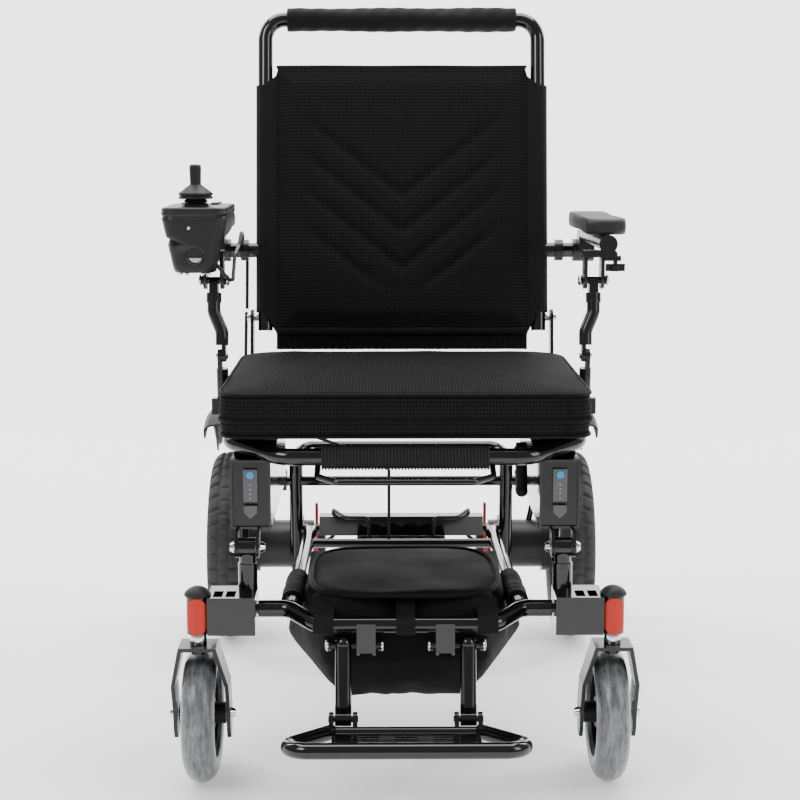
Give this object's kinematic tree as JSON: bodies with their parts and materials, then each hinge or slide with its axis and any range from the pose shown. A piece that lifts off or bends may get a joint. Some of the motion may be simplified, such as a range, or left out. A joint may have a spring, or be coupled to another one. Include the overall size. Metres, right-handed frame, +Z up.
{
  "type": "power wheelchair",
  "caption": "Folding power wheelchair with mesh seat and back, side joystick, twin batteries, caster forks, drive wheels and a slotted footplate.",
  "frame": {"origin": "on the floor under the middle of the chair's outline", "axes": "+Z up, the sitter faces -Y, +X is the sitter's left"},
  "size_m": [0.642, 1.0112, 1.0261],
  "materials": {
    "frame_black": "gloss",
    "bracket_black": "satin",
    "bolt_chrome": "gloss",
    "grip_rubber": "matte",
    "mesh_fabric": "matte",
    "bag_nylon": "matte",
    "battery_shell": "gloss",
    "battery_bezel": "gloss",
    "blue_button": "gloss",
    "cable_black": "satin",
    "cap_plastic": "satin",
    "reflector_red": "gloss",
    "caster_pu": "satin",
    "hub_black": "satin",
    "motor_grey": "satin",
    "fender_grey": "matte",
    "controller_grey": "matte",
    "lever_red": "satin",
    "drive_tyre": "matte",
    "rim_black": "satin",
    "pad_pu": "matte",
    "pod_plastic": "satin",
    "panel_plastic": "gloss",
    "steel_inner": "satin",
    "stick_plastic": "satin",
    "button_green": "gloss",
    "button_amber": "gloss",
    "button_grey": "gloss"
  },
  "bodies": {
    "seat": {"seat_frame": "frame_black", "seat_brackets": "bracket_black", "handle_grip": "grip_rubber", "seat_sling": "bag_nylon", "seat_cushion": "mesh_fabric", "battery_housings": "battery_shell", "batteries": "battery_bezel", "frame_bolts": "bolt_chrome", "frame_cable": "cable_black"},
    "release": {"release_bar": "frame_black"},
    "latch": {"fold_latch_lever": "grip_rubber"},
    "battery_switch_left": {"battery_button_left": "blue_button"},
    "battery_switch_right": {"battery_button_right": "blue_button"},
    "front": {"front_legs": "frame_black", "caster_caps": "cap_plastic", "caster_reflectors": "reflector_red"},
    "fork_left": {"caster_fork_left": "bracket_black", "caster_axle_left": "bolt_chrome"},
    "fork_right": {"caster_fork_right": "bracket_black", "caster_axle_right": "bolt_chrome"},
    "caster_left": {"caster_tyre_left": "caster_pu", "caster_hub_left": "hub_black"},
    "caster_right": {"caster_tyre_right": "caster_pu", "caster_hub_right": "hub_black"},
    "bottom": {"bottom_frame": "frame_black", "storage_bag": "bag_nylon"},
    "hangers": {"footrest_hangers": "frame_black"},
    "plate": {"footplate": "frame_black"},
    "rear": {"rear_frame": "frame_black", "motors": "motor_grey", "fenders": "fender_grey", "controller_box": "controller_grey", "motor_cables": "cable_black"},
    "brake_left": {"brake_lever_left": "lever_red"},
    "brake_right": {"brake_lever_right": "lever_red"},
    "wheel_left": {"drive_tyre_left": "drive_tyre", "drive_rim_left": "rim_black"},
    "wheel_right": {"drive_tyre_right": "drive_tyre", "drive_rim_right": "rim_black"},
    "backrest": {"backrest_frame": "frame_black", "backrest_fabric": "mesh_fabric", "push_sleeve": "grip_rubber", "backrest_cable": "cable_black"},
    "link_left": {"armrest_link_left": "bracket_black"},
    "link_right": {"armrest_link_right": "bracket_black"},
    "arm_left": {"armrest_beam_left": "bracket_black", "armrest_pad_left": "pad_pu"},
    "arm_right": {"armrest_beam_right": "bracket_black", "armrest_pad_right": "pad_pu", "joystick_pod": "pod_plastic", "pod_panel": "panel_plastic", "armrest_cable": "cable_black"},
    "strut_left": {"armrest_strut_left": "bracket_black"},
    "strut_right": {"armrest_strut_right": "bracket_black"},
    "gimbal": {"joystick_gimbal": "steel_inner"},
    "stick": {"joystick_stick": "stick_plastic"},
    "key_power": {"power_button": "button_green"},
    "key_horn": {"horn_button": "button_amber"},
    "key_faster": {"faster_button": "button_grey"},
    "key_slower": {"slower_button": "button_grey"}
  },
  "joints": [
    {"name": "rear_fold", "type": "hinge", "parent": "seat", "child": "rear", "pos_m": [0, 0.28, 0.275], "axis": [1, 0, 0], "range_deg": [0, 68]},
    {"name": "front_fold", "type": "hinge", "parent": "seat", "child": "front", "pos_m": [0, -0.32, 0.313], "axis": [1, 0, 0], "range_deg": [0, 68]},
    {"name": "bottom_fold", "type": "hinge", "parent": "front", "child": "bottom", "pos_m": [0, -0.32, 0.232], "axis": [1, 0, 0], "range_deg": [-68, 0]},
    {"name": "backrest_fold", "type": "hinge", "parent": "seat", "child": "backrest", "pos_m": [0, 0.12, 0.561], "axis": [1, 0, 0], "range_deg": [0, 94]},
    {"name": "release_swing", "type": "hinge", "parent": "seat", "child": "release", "pos_m": [0, -0.262, 0.424], "axis": [1, 0, 0], "range_deg": [-3.5, 0], "stiffness_Nm_per_rad": 4},
    {"name": "latch_swing", "type": "hinge", "parent": "seat", "child": "latch", "pos_m": [0, -0.2, 0.418], "axis": [1, 0, 0], "range_deg": [0, 30], "stiffness_Nm_per_rad": 0.5},
    {"name": "hanger_swing", "type": "hinge", "parent": "bottom", "child": "hangers", "pos_m": [0, -0.362, 0.196], "axis": [1, 0, 0], "range_deg": [-25, 0]},
    {"name": "plate_flip", "type": "hinge", "parent": "hangers", "child": "plate", "pos_m": [0, -0.384, 0.106], "axis": [1, 0, 0], "range_deg": [-82, 0]},
    {"name": "caster_swivel_left", "type": "hinge", "parent": "front", "child": "fork_left", "pos_m": [0.264, -0.348, 0.23], "axis": [0, 0, 1], "continuous": true},
    {"name": "caster_roll_left", "type": "hinge", "parent": "fork_left", "child": "caster_left", "pos_m": [0.264, -0.31, 0.089], "axis": [1, 0, 0], "continuous": true},
    {"name": "wheel_roll_left", "type": "hinge", "parent": "rear", "child": "wheel_left", "pos_m": [0.2845, 0.34, 0.155], "axis": [1, 0, 0], "continuous": true},
    {"name": "brake_left_turn", "type": "hinge", "parent": "rear", "child": "brake_left", "pos_m": [0.142, 0.34, 0.155], "axis": [1, 0, 0], "range_deg": [0, 30]},
    {"name": "link_left_turn", "type": "hinge", "parent": "backrest", "child": "link_left", "pos_m": [0.238, 0.138, 0.662], "axis": [1, 0, 0], "range_deg": [-94, 0]},
    {"name": "arm_left_flip", "type": "hinge", "parent": "link_left", "child": "arm_left", "pos_m": [0.275, 0.138, 0.662], "axis": [-1, 0, 0], "range_deg": [0, 90]},
    {"name": "strut_left_turn", "type": "hinge", "parent": "seat", "child": "strut_left", "pos_m": [0.247, -0.153, 0.5385], "axis": [1, 0, 0], "range_deg": [0, 94]},
    {"name": "battery_left_press", "type": "slide", "parent": "seat", "child": "battery_switch_left", "axis": [0, -1, 0], "range_m": [-0.0012, 0], "stiffness_N_per_m": 800},
    {"name": "caster_swivel_right", "type": "hinge", "parent": "front", "child": "fork_right", "pos_m": [-0.264, -0.348, 0.23], "axis": [0, 0, 1], "continuous": true},
    {"name": "caster_roll_right", "type": "hinge", "parent": "fork_right", "child": "caster_right", "pos_m": [-0.264, -0.31, 0.089], "axis": [1, 0, 0], "continuous": true},
    {"name": "wheel_roll_right", "type": "hinge", "parent": "rear", "child": "wheel_right", "pos_m": [-0.2845, 0.34, 0.155], "axis": [1, 0, 0], "continuous": true},
    {"name": "brake_right_turn", "type": "hinge", "parent": "rear", "child": "brake_right", "pos_m": [-0.142, 0.34, 0.155], "axis": [1, 0, 0], "range_deg": [0, 30]},
    {"name": "link_right_turn", "type": "hinge", "parent": "backrest", "child": "link_right", "pos_m": [-0.238, 0.138, 0.662], "axis": [1, 0, 0], "range_deg": [-94, 0]},
    {"name": "arm_right_flip", "type": "hinge", "parent": "link_right", "child": "arm_right", "pos_m": [-0.275, 0.138, 0.662], "axis": [-1, 0, 0], "range_deg": [0, 90]},
    {"name": "strut_right_turn", "type": "hinge", "parent": "seat", "child": "strut_right", "pos_m": [-0.247, -0.153, 0.5385], "axis": [1, 0, 0], "range_deg": [0, 94]},
    {"name": "battery_right_press", "type": "slide", "parent": "seat", "child": "battery_switch_right", "axis": [0, -1, 0], "range_m": [-0.0012, 0], "stiffness_N_per_m": 800},
    {"name": "stick_side", "type": "hinge", "parent": "arm_right", "child": "gimbal", "pos_m": [-0.279, -0.15, 0.723], "axis": [0, 1, 0], "range_deg": [-13, 13], "stiffness_Nm_per_rad": 0.3},
    {"name": "stick_fore", "type": "hinge", "parent": "gimbal", "child": "stick", "pos_m": [-0.279, -0.15, 0.723], "axis": [1, 0, 0], "range_deg": [-13, 13], "stiffness_Nm_per_rad": 0.3},
    {"name": "power_press", "type": "slide", "parent": "arm_right", "child": "key_power", "axis": [0, 0, 1], "range_m": [-0.0015, 0], "stiffness_N_per_m": 600},
    {"name": "horn_press", "type": "slide", "parent": "arm_right", "child": "key_horn", "axis": [0, 0, 1], "range_m": [-0.0015, 0], "stiffness_N_per_m": 600},
    {"name": "faster_press", "type": "slide", "parent": "arm_right", "child": "key_faster", "axis": [0, 0, 1], "range_m": [-0.0015, 0], "stiffness_N_per_m": 600},
    {"name": "slower_press", "type": "slide", "parent": "arm_right", "child": "key_slower", "axis": [0, 0, 1], "range_m": [-0.0015, 0], "stiffness_N_per_m": 600}
  ],
  "couplings": [
    {"joint": "front_fold", "follows": "rear_fold", "ratio": 1},
    {"joint": "bottom_fold", "follows": "rear_fold", "ratio": -1},
    {"joint": "link_left_turn", "follows": "backrest_fold", "ratio": -1},
    {"joint": "strut_left_turn", "follows": "backrest_fold", "ratio": 1},
    {"joint": "link_right_turn", "follows": "backrest_fold", "ratio": -1},
    {"joint": "strut_right_turn", "follows": "backrest_fold", "ratio": 1}
  ]
}
